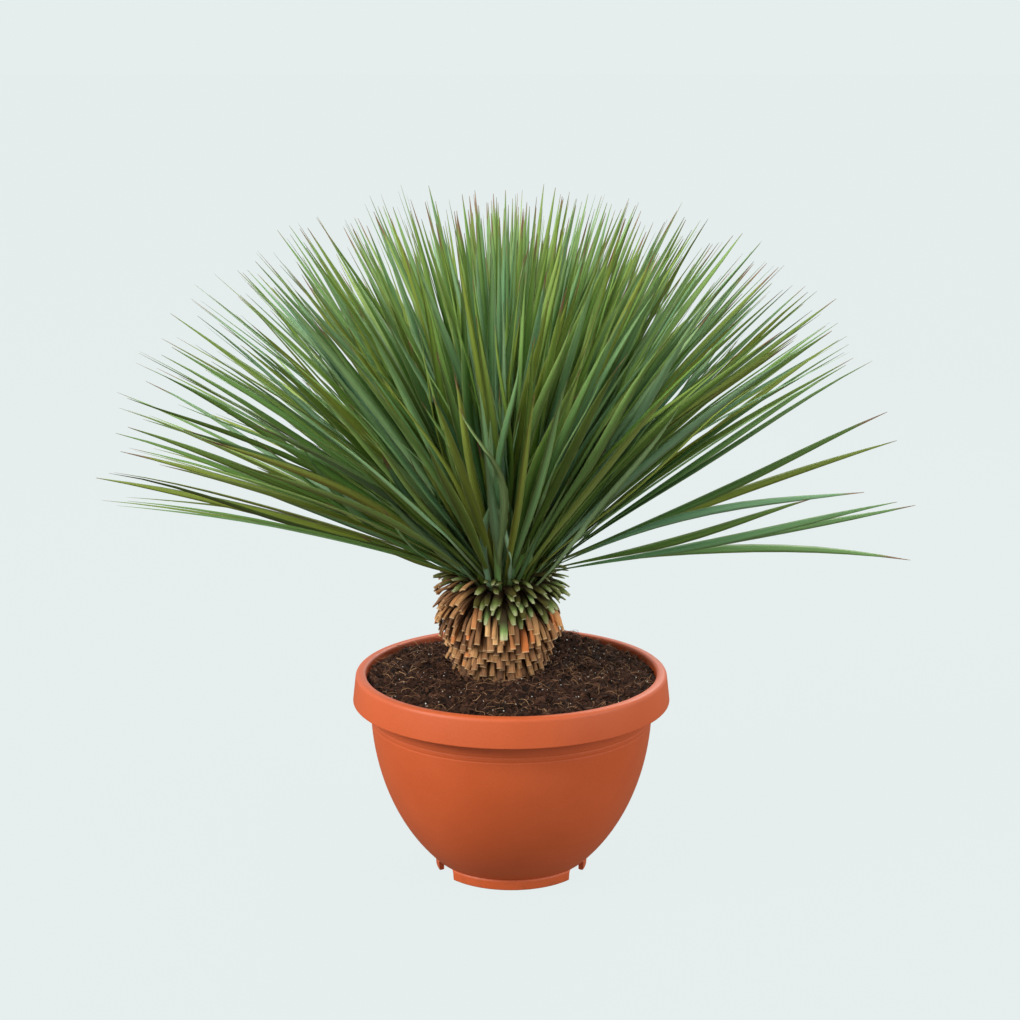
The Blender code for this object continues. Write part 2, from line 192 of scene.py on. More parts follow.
def turned(name, profile, sides):
    """Turns a profile of (radius, height) points, outside from top to bottom, about the Z axis."""
    mesh = bpy.data.meshes.new(name)
    edges = [(i, i + 1) for i in range(len(profile) - 1)]
    mesh.from_pydata([(radius, 0, height) for radius, height in profile], edges, [])
    outline = new_object(name + " outline", mesh)
    screw = outline.modifiers.new("Turn", "SCREW")
    screw.steps = sides
    screw.render_steps = sides
    screw.use_merge_vertices = True
    screw.merge_threshold = 0.00001
    return made_plain(outline, name)


def bowl_radius(height, inset=0.0):
    rise = (BOWL_CENTRE_HEIGHT - height) / (BOWL_DROP - inset)
    return BOWL_CENTRE_RADIUS + (BOWL_REACH - inset) * math.sqrt(1 - rise * rise)


def bowl_side(low, stretches, inset=0.0):
    heights = [low + (BOWL_CENTRE_HEIGHT - low) * (i / stretches) ** 1.3 for i in range(stretches + 1)]
    return [(bowl_radius(height, inset), height) for height in heights]


def rounded(corners):
    """A profile through corners of (radius, height, rounding), each corner rounded by its own size."""
    points = []
    for number, (radius, height, rounding) in enumerate(corners):
        here = Vector((radius, height))
        if not rounding or number in (0, len(corners) - 1):
            points.append((radius, height))
            continue
        before = Vector(corners[number - 1][:2]) - here
        after = Vector(corners[number + 1][:2]) - here
        start = here + before.normalized() * rounding
        end = here + after.normalized() * rounding
        for step in range(ROUNDING_STEPS + 1):
            t = step / ROUNDING_STEPS
            point = start * (1 - t) ** 2 + here * 2 * t * (1 - t) + end * t * t
            points.append((point.x, point.y))
    return points


def grooved(height):
    """How deep the fine grooves below the rim are at a height."""
    return sum(
        GROOVE_DEPTH * math.exp(-(((height - middle) / GROOVE_WIDTH) ** 2)) for middle in GROOVE_HEIGHTS
    )


def pot_profile():
    floor_top = FLOOR_UNDERSIDE + WALL
    inside = bowl_side(floor_top + 0.006, 24, WALL)
    band_top, band_bottom, band_steps = 0.1880, 0.1660, 44
    band = [band_top + (band_bottom - band_top) * i / band_steps for i in range(band_steps + 1)]
    below = [point for point in bowl_side(FOOT_HEIGHT + 0.0015, 36)[::-1] if point[1] < band_bottom - 0.001]
    corners = (
        [(0, floor_top, 0), (inside[0][0] - 0.010, floor_top, 0.004)]
        + [(radius, height, 0) for radius, height in inside]
        + [
            (LIP_RADIUS, 0.2160, 0.004),
            (LIP_RADIUS + 0.0006, POT_HEIGHT, 0.0034),
            (RIM_TOP_RADIUS, POT_HEIGHT, 0.0046),
            (RIM_RADIUS, RIM_BOTTOM, 0.0014),
            (RIM_RADIUS - 0.003, RIM_BOTTOM, 0.0012),
            (RIM_RADIUS - 0.003, RIM_BOTTOM + 0.012, 0.002),
            (NECK_RADIUS, RIM_BOTTOM + 0.012, 0.002),
        ]
        + [(bowl_radius(height) - grooved(height), height, 0) for height in band]
        + [(radius, height, 0) for radius, height in below]
        + [
            (FOOT_RADIUS - 0.0012, FOOT_HEIGHT - 0.0002, 0.0006),
            (FOOT_RADIUS, FOOT_HEIGHT - 0.0022, 0.001),
            (FOOT_RADIUS - 0.0006, 0, 0.0016),
            (FOOT_RADIUS - FOOT_WIDTH, 0, 0.0012),
            (FOOT_RADIUS - FOOT_WIDTH, FLOOR_UNDERSIDE, 0.0015),
            (0, FLOOR_UNDERSIDE, 0),
        ]
    )
    return rounded(corners)


def foot_cutters():
    """Blocks with rounded edges that cut the notches, and rods that cut the drain holes."""
    cutters = bpy.data.collections.new("foot cutters")
    bpy.context.scene.collection.children.link(cutters)
    width = 3 * FOOT_WIDTH
    reach = FOOT_RADIUS - FOOT_WIDTH - 0.0015 + width / 2
    for degrees in NOTCH_AZIMUTHS:
        bm = bmesh.new()
        bmesh.ops.create_cube(bm, size=1)
        bmesh.ops.scale(bm, vec=(width, NOTCH_WIDTH, 2 * NOTCH_HEIGHT), verts=bm.verts)
        upright = [edge for edge in bm.edges if abs(edge.verts[0].co.x - edge.verts[1].co.x) > 0.001]
        bmesh.ops.bevel(bm, geom=upright, offset=0.0035, segments=4, affect="EDGES", profile=0.5)
        notch = new_object("notch", mesh_from(bm, "notch"))
        turn = math.radians(degrees)
        notch.location = (reach * math.cos(turn), reach * math.sin(turn), 0)
        notch.rotation_euler.z = turn
        cutters.objects.link(notch)
    for number in range(DRAIN_COUNT):
        bm = bmesh.new()
        bmesh.ops.create_cone(
            bm, cap_ends=True, segments=32, radius1=DRAIN_RADIUS, radius2=DRAIN_RADIUS, depth=4 * WALL
        )
        turn = math.tau * (number + 0.5) / DRAIN_COUNT
        middle = (DRAIN_CIRCLE * math.cos(turn), DRAIN_CIRCLE * math.sin(turn), FLOOR_UNDERSIDE + WALL / 2)
        bmesh.ops.translate(bm, vec=middle, verts=bm.verts)
        cutters.objects.link(new_object("drain", mesh_from(bm, "drain")))
    return cutters


def terracotta_plastic():
    finish = Finish("terracotta plastic", 0.5, 0.4)
    place = finish.place()
    cloud = finish.speckle(place, 9.0, 3.0)
    grain = finish.speckle(place, 420.0, 2.0)
    colour = finish.ramp(cloud, (0.3, paint(191, 84, 41)), (0.7, paint(200, 91, 47)))
    colour = finish.blend(0.12, colour, finish.ramp(grain, (0.3, 0.3), (0.7, 0.7)), "SOFT_LIGHT")
    height = finish.node("SeparateXYZ", {0: place}).outputs["Z"]
    dust = finish.ramp(finish.speckle(place, 55.0), (0.5, 0.0), (0.7, 1.0))
    dusty = finish.reckon("MULTIPLY", dust, 0.35)
    low = finish.node("MapRange", {"Value": height, "From Min": 0.02, "From Max": 0.0}).outputs["Result"]
    colour = finish.blend(finish.reckon("MULTIPLY", dusty, low), colour, paint(112, 66, 40))
    roughness = finish.ramp(cloud, (0.2, 0.42), (0.8, 0.56))
    return finish.finish(colour, grain, 0.00012, roughness)


pot_material = terracotta_plastic()
pot = turned("pot_blank", pot_profile(), POT_SIDES)
openings = pot.modifiers.new("Notches and drain holes", "BOOLEAN")
openings.operation = "DIFFERENCE"
openings.operand_type = "COLLECTION"
openings.collection = foot_cutters()
openings.solver = "MANIFOLD"
pot = made_plain(pot, "moulded_pot")
for cutter in list(bpy.data.collections["foot cutters"].objects):
    bpy.data.objects.remove(cutter)
bpy.data.collections.remove(bpy.data.collections["foot cutters"])
pot.data.materials.clear()
pot.data.materials.append(pot_material)
pot.data.shade_smooth()
pot.data.set_sharp_from_angle(angle=math.radians(38))
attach(pot, "root")
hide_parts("pot")


# Soil: dark, fibrous potting soil heaped against the trunk, with a mound behind it. The crumbs
# and root fibres lie loose in its surface, and white grains of perlite are mixed in.
SOIL_EDGE_HEIGHT = 0.2175
SOIL_HEAP_HEIGHT = 0.2285
SOIL_HEAP_RADIUS = 0.060
TRUNK_X = -0.013
MOUND_PLACE = Vector((0.055, 0.090))
MOUND_HEIGHT = 0.016
MOUND_SPREAD = 0.035
SOIL_GAP = 0.0003
SOIL_SIDES = 220
SOIL_RINGS = 84
SOIL_EDGE_RADIUS = 0.1590
RING_BELOW_EDGE = (0.1575, 0.2095)
CLOD_SPAN, CLOD_RELIEF = 0.016, 0.0058
LUMP_SPAN, LUMP_RELIEF = 0.0075, 0.0040
CRUMB_SPAN, CRUMB_RELIEF = 0.0030, 0.0014


def clipped(value):
    """A number kept between 0 and 1."""
    return min(max(value, 0), 1)


def soil_height(x, y):
    """The surface's height: the heap, the mound, clods, lumps and crumbs. It is calmer by the wall."""
    radius = math.hypot(x, y)
    start = 0.95 * SOIL_EDGE_RADIUS
    inward = clipped((start - radius) / (start - SOIL_HEAP_RADIUS))
    around = math.hypot(x - TRUNK_X * inward, y)
    outward = clipped((around - SOIL_HEAP_RADIUS) / (SOIL_EDGE_RADIUS - SOIL_HEAP_RADIUS))
    height = SOIL_HEAP_HEIGHT + (SOIL_EDGE_HEIGHT - SOIL_HEAP_HEIGHT) * outward**1.4
    away = (Vector((x, y)) - MOUND_PLACE).length / MOUND_SPREAD
    height += MOUND_HEIGHT * math.exp(-away * away)
    calm = min(max((SOIL_EDGE_RADIUS - radius) / 0.006, 0.25), 1)
    clods = noise.noise(Vector((x, y, 0.0)) / CLOD_SPAN)
    lumps = noise.noise(Vector((x, y, 0.3)) / LUMP_SPAN)
    crumbs = noise.noise(Vector((x, y, 0.7)) / CRUMB_SPAN)
    return height + calm * (CLOD_RELIEF * clods + LUMP_RELIEF * (abs(lumps) - 0.3) + CRUMB_RELIEF * crumbs)


def soil_body():
    """A closed plug of soil: a fine polar grid on top, and a plain wall and floor hidden in the pot."""
    bm = bmesh.new()
    centre = bm.verts.new((TRUNK_X, 0, SOIL_HEAP_HEIGHT))
    rings = []
    for ring in range(1, SOIL_RINGS + 1):
        radius = SOIL_EDGE_RADIUS * (ring / SOIL_RINGS) ** 0.75
        verts = []
        for side in range(SOIL_SIDES):
            azimuth = math.tau * side / SOIL_SIDES
            x, y = radius * math.cos(azimuth), radius * math.sin(azimuth)
            x += TRUNK_X * max(1 - radius / SOIL_EDGE_RADIUS, 0)
            verts.append(bm.verts.new((x, y, soil_height(x, y))))
        rings.append(verts)
    hidden_side = bowl_side(FLOOR_UNDERSIDE + WALL + SOIL_GAP + 0.006, 10, WALL + 1.6 * SOIL_GAP)
    for radius, height in [RING_BELOW_EDGE] + hidden_side[::-1]:
        azimuths = [math.tau * side / SOIL_SIDES for side in range(SOIL_SIDES)]
        rings.append([bm.verts.new((radius * math.cos(a), radius * math.sin(a), height)) for a in azimuths])
    base = bm.verts.new((0, 0, FLOOR_UNDERSIDE + WALL + SOIL_GAP))
    for side in range(SOIL_SIDES):
        after = (side + 1) % SOIL_SIDES
        bm.faces.new((centre, rings[0][side], rings[0][after]))
        for ring, following in zip(rings, rings[1:]):
            bm.faces.new((ring[side], following[side], following[after], ring[after]))
        bm.faces.new((rings[-1][after], rings[-1][side], base))
    bmesh.ops.recalc_face_normals(bm, faces=bm.faces)
    return mesh_from(bm, "potting_soil")


def soil_material(name, tone_share):
    """Damp brown soil. Loose pieces also vary by their own tone."""
    finish = Finish(name, 0.95, 0.25)
    place = finish.place()
    patches = finish.speckle(place, 60.0, 6.0, 0.7)
    colour = finish.ramp(
        patches,
        (0.30, paint(12, 7, 4)),
        (0.48, paint(36, 21, 14)),
        (0.60, paint(60, 36, 25)),
        (0.78, paint(90, 58, 41)),
    )
    if tone_share:
        tones = finish.ramp(
            finish.number("tone"),
            (0.0, paint(13, 8, 5)),
            (0.5, paint(48, 29, 20)),
            (0.88, paint(86, 54, 38)),
            (1.0, paint(122, 84, 60)),
        )
        colour = finish.blend(tone_share, colour, tones)
    grain = finish.speckle(place, 700.0, 5.0, 0.7)
    colour = finish.blend(0.5, colour, finish.ramp(grain, (0.3, 0.25), (0.7, 0.72)), "SOFT_LIGHT")
    return finish.finish(colour, grain, 0.0009)


def put_on_soil(finished):
    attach(finished, "root")


soil = new_object("potting_soil", soil_body(), soil_material("potting soil", 0.0))
soil.data.shade_smooth()
put_on_soil(soil)
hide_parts("soil")


class Steps:
    """A node tree for a modifier, with short names for its inputs and its nodes."""

    def __init__(self, name, **sizes):
        self.tree = bpy.data.node_groups.new(name, "GeometryNodeTree")
        self.tree.interface.new_socket("Geometry", in_out="INPUT", socket_type="NodeSocketGeometry")
        self.tree.interface.new_socket("Geometry", in_out="OUTPUT", socket_type="NodeSocketGeometry")
        for socket_name, kind in sizes.items():
            label = socket_name.replace("_", " ")
            self.tree.interface.new_socket(label, in_out="INPUT", socket_type="NodeSocket" + kind)
        self.entry = self.tree.nodes.new("NodeGroupInput")
        self.exit = self.tree.nodes.new("NodeGroupOutput")

    def given(self, label):
        return self.entry.outputs[label]

    def node(self, kind, inputs=(), **settings):
        return add_node(self.tree, kind, inputs, settings)

    def number(self, name):
        number = self.node("GeometryNodeInputNamedAttribute", {"Name": name}, data_type="FLOAT")
        return number.outputs["Attribute"]

    def close(self, geometry):
        """The end of each tree: instances are made real, and the finish is put on."""
        real = self.node("GeometryNodeRealizeInstances", {"Geometry": geometry}).outputs[0]
        dressed = self.node("GeometryNodeSetMaterial", {"Geometry": real, "Material": self.given("Finish")})
        self.tree.links.new(dressed.outputs[0], self.exit.inputs[0])
        return self.tree

    def run(self, source, name, **values):
        """Runs the tree on an object, which is used up, and gives back a plain mesh object."""
        modifier = source.modifiers.new("Steps", "NODES")
        modifier.node_group = self.tree
        for item in self.tree.interface.items_tree:
            key = item.name.replace(" ", "_")
            if item.in_out == "INPUT" and key in values:
                modifier[item.identifier] = values[key]
        return made_plain(source, name)


def scattering():
    """Lays shapes on a surface at random, turned any way round and tilted up to a limit."""
    steps = Steps(
        "lay loose pieces",
        Shapes="Collection",
        Pieces_per_square_metre="Float",
        Smallest="Float",
        Largest="Float",
        Tilt="Float",
        Lift="Float",
        Seed="Int",
        Finish="Material",
    )
    seed = steps.given("Seed")
    spread = steps.node(
        "GeometryNodeDistributePointsOnFaces",
        {"Mesh": steps.given("Geometry"), "Density": steps.given("Pieces per square metre"), "Seed": seed},
    )
    tilt = steps.given("Tilt")
    back = steps.node("ShaderNodeMath", {0: tilt, 1: -1.0}, operation="MULTIPLY").outputs[0]
    lowest = steps.node("ShaderNodeCombineXYZ", {"X": back, "Y": back, "Z": -math.pi}).outputs[0]
    highest = steps.node("ShaderNodeCombineXYZ", {"X": tilt, "Y": tilt, "Z": math.pi}).outputs[0]
    turn = steps.node(
        "FunctionNodeRandomValue", {"Min": lowest, "Max": highest, "Seed": seed}, data_type="FLOAT_VECTOR"
    )
    size = steps.node("FunctionNodeRandomValue", {"Seed": seed}, data_type="FLOAT")
    steps.tree.links.new(steps.given("Smallest"), size.inputs[2])
    steps.tree.links.new(steps.given("Largest"), size.inputs[3])
    shapes = steps.node(
        "GeometryNodeCollectionInfo",
        {"Collection": steps.given("Shapes"), "Separate Children": True, "Reset Children": True},
    )
    laid = steps.node(
        "GeometryNodeInstanceOnPoints",
        {
            "Points": spread.outputs["Points"],
            "Instance": shapes.outputs[0],
            "Pick Instance": True,
            "Rotation": turn.outputs[0],
            "Scale": size.outputs[1],
        },
    )
    rise = steps.node("ShaderNodeCombineXYZ", {"Z": steps.given("Lift")}).outputs[0]
    lifted = steps.node(
        "GeometryNodeTranslateInstances",
        {"Instances": laid.outputs[0], "Translation": rise, "Local Space": False},
    )
    tone = steps.node("FunctionNodeRandomValue", {"Seed": seed}, data_type="FLOAT")
    marked = steps.node(
        "GeometryNodeStoreNamedAttribute",
        {"Geometry": lifted.outputs[0], "Name": "tone", "Value": tone.outputs[1]},
        data_type="FLOAT",
        domain="INSTANCE",
    )
    steps.close(marked.outputs[0])
    return steps


def shapes_collection(name, meshes):
    shapes = bpy.data.collections.new(name)
    bpy.context.scene.collection.children.link(shapes)
    for number, mesh in enumerate(meshes):
        shape = bpy.data.objects.new(f"{name} {number}", mesh)
        shapes.objects.link(shape)
    return shapes


FIBRE_STRETCHES = 7


def crumb_mesh(draws):
    """A small knobbly clod, 1 m across, made smaller when it is laid."""
    bm = bmesh.new()
    bmesh.ops.create_icosphere(bm, subdivisions=1, radius=0.5)
    stretch = Vector((draws.uniform(0.75, 1.25), draws.uniform(0.6, 1.0), draws.uniform(0.45, 0.8)))
    for vert in bm.verts:
        vert.co = vert.co * draws.uniform(0.7, 1.25) * stretch
    return mesh_from(bm, "crumb")


def fibre_mesh(draws, thickness):
    """A curled root fibre, 1 m from end to end, three-sided and thinner towards its ends."""
    curl, kink, hook = draws.uniform(-0.45, 0.45), draws.uniform(-0.25, 0.25), draws.uniform(0.0, 0.12)
    bm = bmesh.new()
    rings = []
    for step in range(FIBRE_STRETCHES + 1):
        t = step / FIBRE_STRETCHES
        aside = curl * math.sin(math.pi * t) + kink * math.sin(math.tau * t)
        middle = Vector((t - 0.5, aside, hook * math.sin(3 * t)))
        half = thickness * (1 - 0.6 * abs(2 * t - 1) ** 3) / 2
        ring = []
        for side in range(3):
            turn = math.tau * side / 3
            ring.append(bm.verts.new(middle + Vector((0, half * math.cos(turn), half * math.sin(turn)))))
        rings.append(ring)
    for ring, following in zip(rings, rings[1:]):
        for side in range(3):
            after = (side + 1) % 3
            bm.faces.new((ring[side], ring[after], following[after], following[side]))
    bm.faces.new(rings[0][::-1])
    bm.faces.new(rings[-1])
    bmesh.ops.recalc_face_normals(bm, faces=bm.faces)
    return mesh_from(bm, "fibre")


def open_soil():
    """The part of the soil's surface that the pot and the trunk leave open, as its own object."""
    bm = bmesh.new()
    bm.from_mesh(soil.data)
    hidden = [
        face
        for face in bm.faces
        if face.normal.z < 0.05
        or face.calc_center_median().z < BOWL_CENTRE_HEIGHT + 0.005
        or (face.calc_center_median().xy - Vector((TRUNK_X, 0))).length < 0.042
        or face.calc_center_median().xy.length > SOIL_EDGE_RADIUS - 0.0025
    ]
    bmesh.ops.delete(bm, geom=hidden, context="FACES")
    return new_object("open soil", mesh_from(bm, "open soil"))


draws = random.Random(5)
lay_pieces = scattering()
crumbs = shapes_collection("crumbs", [crumb_mesh(draws) for _ in range(6)])
fibres = shapes_collection("fibres", [fibre_mesh(draws, draws.uniform(0.03, 0.055)) for _ in range(8)])
loose_soil = soil_material("loose soil", 0.55)


def fibre_material():
    finish = Finish("root fibre", 0.8, 0.3)
    colour = finish.ramp(
        finish.number("tone"),
        (0.0, paint(26, 15, 10)),
        (0.6, paint(72, 43, 30)),
        (0.9, paint(112, 74, 52)),
        (1.0, paint(182, 140, 102)),
    )
    fine = finish.speckle(finish.place(), 500.0)
    colour = finish.blend(0.5, colour, finish.ramp(fine, (0.3, 0.3), (0.7, 0.75)), "SOFT_LIGHT")
    return finish.finish(colour, fine, 0.0002)


def perlite_material():
    finish = Finish("perlite", 0.85, 0.4)
    fine = finish.speckle(finish.place(), 900.0)
    colour = finish.ramp(fine, (0.3, paint(190, 180, 165)), (0.6, paint(240, 236, 228)))
    return finish.finish(colour, fine, 0.0003)


for name, shapes, per_square_metre, smallest, largest, tilt, lift, seed, material in (
    ("soil_crumbs", crumbs, 62000, 0.0016, 0.0046, 1.5, 0.0006, 1, loose_soil),
    ("soil_clods", crumbs, 8000, 0.0045, 0.0105, 1.2, 0.0008, 2, loose_soil),
    ("root_fibres", fibres, 46000, 0.006, 0.015, 0.75, 0.0028, 3, fibre_material()),
    ("perlite_grains", crumbs, 2600, 0.0009, 0.0018, 1.5, 0.0026, 4, perlite_material()),
):
    laid = lay_pieces.run(
        open_soil(),
        name,
        Shapes=shapes,
        Pieces_per_square_metre=float(per_square_metre),
        Smallest=smallest,
        Largest=largest,
        Tilt=tilt,
        Lift=lift,
        Seed=seed,
        Finish=material,
    )
    put_on_soil(laid)

for shapes in (crumbs, fibres):
    for shape in list(shapes.objects):
        bpy.data.objects.remove(shape)
    bpy.data.collections.remove(shapes)


# Stem: a short woody stem inside the ring of old leaf bases. It shows only as the dark between
# them, and its foot stands in the soil.
STEM_RADIUS = 0.0530
STEM_SIDES = 48
STEM_PROFILE = (
    (0, 0.3350),
    (0.0200, 0.3340),
    (0.0380, 0.3290),
    (0.0440, 0.3180),
    (0.0500, 0.3050),
    (STEM_RADIUS, 0.2900),
    (STEM_RADIUS, 0.2740),
    (0.0500, 0.2560),
    (0.0450, 0.2360),
    (0.0400, 0.2200),
    (0.0380, 0.1660),
    (0.0220, 0.1480),
    (0, 0.1480),
)


def stem_material():
    finish = Finish("woody stem", 0.95, 0.2)
    place = finish.stretched(finish.place(), (1.0, 1.0, 0.25))
    fibrous = finish.speckle(place, 260.0, 6.0, 0.7)
    colour = finish.ramp(
        fibrous, (0.3, paint(20, 13, 9)), (0.55, paint(46, 30, 20)), (0.8, paint(84, 58, 38))
    )
    return finish.finish(colour, fibrous, 0.002)


stem = turned("woody_stem", STEM_PROFILE, STEM_SIDES)
for vert in stem.data.vertices:
    vert.co.x += TRUNK_X
stem.data.materials.append(stem_material())
stem.data.shade_smooth()
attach(stem, "root")
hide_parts("trunk")


# Old leaf bases: the stumps of cut leaves. Short square-cut ones stand in rows like shingles at
# the bottom, longer dry straps hang over them, and on the left they fan out up to the leaves.
SHINGLE_ROWS = 7
SHINGLES_IN_ROW = 34
SHINGLE_RADIUS = 0.0428
SHINGLE_RADIUS_STEP = 0.0016
SHINGLE_HEIGHT = 0.2430
SHINGLE_HEIGHT_STEP = 0.0073
SHINGLE_LENGTH = 0.0205
SHINGLE_WIDTH = 0.0086
SHINGLE_THICKNESS = 0.0026
STRAP_ROWS = 3
STRAPS_IN_ROW = 28
STRAP_RADIUS = 0.0485
STRAP_RADIUS_STEP = -0.0015
STRAP_HEIGHT = 0.2955
STRAP_HEIGHT_STEP = 0.0058
STRAP_LENGTH = 0.0350
STRAP_WIDTH = 0.0078
STRAP_THICKNESS = 0.0022
STUB_STRETCHES = 6
DRY_SIDE = math.radians(178)
DRY_SIDE_HALF = math.radians(62)
TROUGH_FACE = ((-0.5, 0.0), (-0.25, -0.35), (0.25, -0.35), (0.5, 0.0))
TROUGH_UNDERSIDE = ((0.34, -0.8), (0.0, -1.0), (-0.34, -0.8))
DRY_COLOURS = (
    (0.0, paint(108, 74, 50)),
    (0.3, paint(158, 110, 71)),
    (0.6, paint(198, 146, 94)),
    (0.82, paint(220, 120, 58)),
    (1.0, paint(238, 188, 128)),
)
FRESH_COLOURS = (
    (0.0, paint(84, 78, 24)),
    (0.5, paint(108, 122, 50)),
    (1.0, paint(140, 172, 96)),
)


def section_object(name, points):
    """A closed ring that is swept along a path. Its points know how far across the blade they lie."""
    mesh = bpy.data.meshes.new(name)
    edges = [(i, (i + 1) % len(points)) for i in range(len(points))]
    mesh.from_pydata([(x, y, 0) for x, y in points], edges, [])
    across = mesh.attributes.new("across", "FLOAT", "POINT")
    across.data.foreach_set("value", [x for x, _ in points])
    return new_object(name, mesh)


def sweeping():
    """Sweeps a section along each path. The paths' points carry their own roll and spread."""
    steps = Steps("sweep blades", Section="Object", Width="Float", Thickness="Float", Finish="Material")
    section = steps.node("GeometryNodeObjectInfo", {"Object": steps.given("Section")})
    size = steps.node(
        "ShaderNodeCombineXYZ", {"X": steps.given("Width"), "Y": steps.given("Thickness"), "Z": 1.0}
    )
    sized = steps.node(
        "GeometryNodeTransform", {"Geometry": section.outputs["Geometry"], "Scale": size.outputs[0]}
    )
    ring = steps.node("GeometryNodeMeshToCurve", {"Mesh": sized.outputs[0]})
    paths = steps.node("GeometryNodeMeshToCurve", {"Mesh": steps.given("Geometry")})
    level = steps.node("GeometryNodeSetCurveNormal", {"Curve": paths.outputs[0]}, mode="Z_UP")
    rolled = steps.node(
        "GeometryNodeSetCurveTilt", {"Curve": level.outputs[0], "Tilt": steps.number("roll")}
    )
    swept = steps.node(
        "GeometryNodeCurveToMesh",
        {
            "Curve": rolled.outputs[0],
            "Profile Curve": ring.outputs[0],
            "Scale": steps.number("spread"),
            "Fill Caps": True,
        },
    )
    smooth = steps.node("GeometryNodeSetShadeSmooth", {"Geometry": swept.outputs[0]})
    steps.close(smooth.outputs[0])
    return steps


sweep_blades = sweeping()


class Paths:
    """Collects the centre lines of blades, with what each point knows about its blade."""

    NUMBERS = ("roll", "spread", "along", "tone", "dry", "blue", "light")

    def __init__(self):
        self.points = []
        self.edges = []
        self.numbers = {name: [] for name in self.NUMBERS}

    def add(self, points, rolls, spreads, alongs, **same):
        start = len(self.points)
        self.points += [tuple(point) for point in points]
        self.edges += [(start + i, start + i + 1) for i in range(len(points) - 1)]
        self.numbers["roll"] += rolls
        self.numbers["spread"] += spreads
        self.numbers["along"] += alongs
        for name in self.NUMBERS[3:]:
            self.numbers[name] += [same.get(name, 0.0)] * len(points)

    def swept(self, name, section, width, thickness, material):
        mesh = bpy.data.meshes.new(name)
        mesh.from_pydata(self.points, self.edges, [])
        for number, values in self.numbers.items():
            mesh.attributes.new(number, "FLOAT", "POINT").data.foreach_set("value", values)
        return sweep_blades.run(
            new_object(name + " paths", mesh),
            name,
            Section=section,
            Width=width,
            Thickness=thickness,
            Finish=material,
        )


def add_stub(
    paths,
    azimuth,
    radius,
    height,
    pitches,
    length,
    spread,
    middle=TRUNK_X,
    lean=0.0,
    roll=0.0,
    taper=0.0,
    **same,
):
    """A leaf base from inside the stem outward, curving evenly from its first pitch to its last."""
    point = Vector((middle + radius * math.cos(azimuth), radius * math.sin(azimuth), height))
    points = [point.copy()]
    turn = azimuth + lean
    stretch = length / STUB_STRETCHES
    for number in range(STUB_STRETCHES):
        pitch = pitches[0] + (pitches[1] - pitches[0]) * number / (STUB_STRETCHES - 1)
        level = stretch * math.cos(pitch)
        point += Vector((level * math.cos(turn), level * math.sin(turn), stretch * math.sin(pitch)))
        points.append(point.copy())
    alongs = [number / STUB_STRETCHES for number in range(STUB_STRETCHES + 1)]
    spreads = [spread * (1 - taper * max(along - 0.55, 0) ** 2 / 0.2) for along in alongs]
    paths.add(points, [roll] * len(points), spreads, alongs, **same)


def row_azimuth(row, number, count, stray):
    return math.tau * (number + 0.5 * (row % 2) + stray) / count


def on_dry_side(azimuth):
    """How far inside the left side, where the old leaves are dry to the top, a place is: 0 to 1."""
    away = abs((azimuth - DRY_SIDE + math.pi) % math.tau - math.pi)
    return clipped((DRY_SIDE_HALF - away) / math.radians(22) + 0.5)


def lengthwise(finish, stretch, apart):
    """A place on a blade, across it and along it. Blades of another tone have places of their own."""
    down = finish.reckon("MULTIPLY", finish.number("along"), stretch)
    place = {"X": finish.number("across"), "Y": down, "Z": finish.number("tone")}
    return finish.stretched(finish.node("CombineXYZ", place).outputs[0], (1.0, 1.0, apart))


def leaf_base_material():
    """Green or dry by each base's own number, streaked lengthwise, pale where cut, earthy below, and
    darkened towards the stem as painted shade.
    """
    finish = Finish("cut leaf bases", 0.75, 0.3)
    along, tone = finish.number("along"), finish.number("tone")
    streaks = finish.speckle(lengthwise(finish, 0.12, 9.0), 16.0, 4.0, 0.6)
    dry = finish.ramp(tone, *DRY_COLOURS)
    fresh = finish.ramp(tone, *FRESH_COLOURS)
    fresh = finish.blend(finish.ramp(along, (0.45, 0.9), (0.82, 0.0)), fresh, paint(50, 46, 10))
    pale_end = finish.ramp(along, (0.74, 0.0), (0.96, 0.9))
    fresh = finish.blend(finish.reckon("MULTIPLY", pale_end, tone), fresh, paint(208, 206, 158))
    colour = finish.blend(finish.number("dry"), fresh, dry)
    contrast = finish.ramp(streaks, (0.3, 0.22), (0.5, 0.5), (0.72, 0.86))
    colour = finish.blend(0.75, colour, contrast, "OVERLAY")
    cut = finish.ramp(along, (0.95, 0.0), (0.995, 0.6))
    pale = finish.blend(finish.number("dry"), paint(196, 200, 156), paint(244, 206, 156))
    colour = finish.blend(cut, colour, pale)
    # Painted shade: each base is darkened towards the stem, where the bases above shade it.
    painted_shade_by_stem = finish.ramp(along, (0.15, 0.9), (0.45, 0.55), (0.8, 0.0))
    colour = finish.blend(painted_shade_by_stem, colour, paint(58, 34, 16))
    height = finish.node("SeparateXYZ", {0: finish.place()}).outputs["Z"]
    low = finish.node("MapRange", {"Value": height, "From Min": 0.252, "From Max": 0.232}).outputs["Result"]
    earth = finish.reckon("MULTIPLY", low, finish.ramp(streaks, (0.35, 0.75), (0.6, 0.2)))
    colour = finish.blend(earth, colour, paint(62, 38, 24))
    return finish.finish(colour, streaks, 0.0009)


base_material = leaf_base_material()
base_section = section_object("leaf base section", TROUGH_FACE + TROUGH_UNDERSIDE)

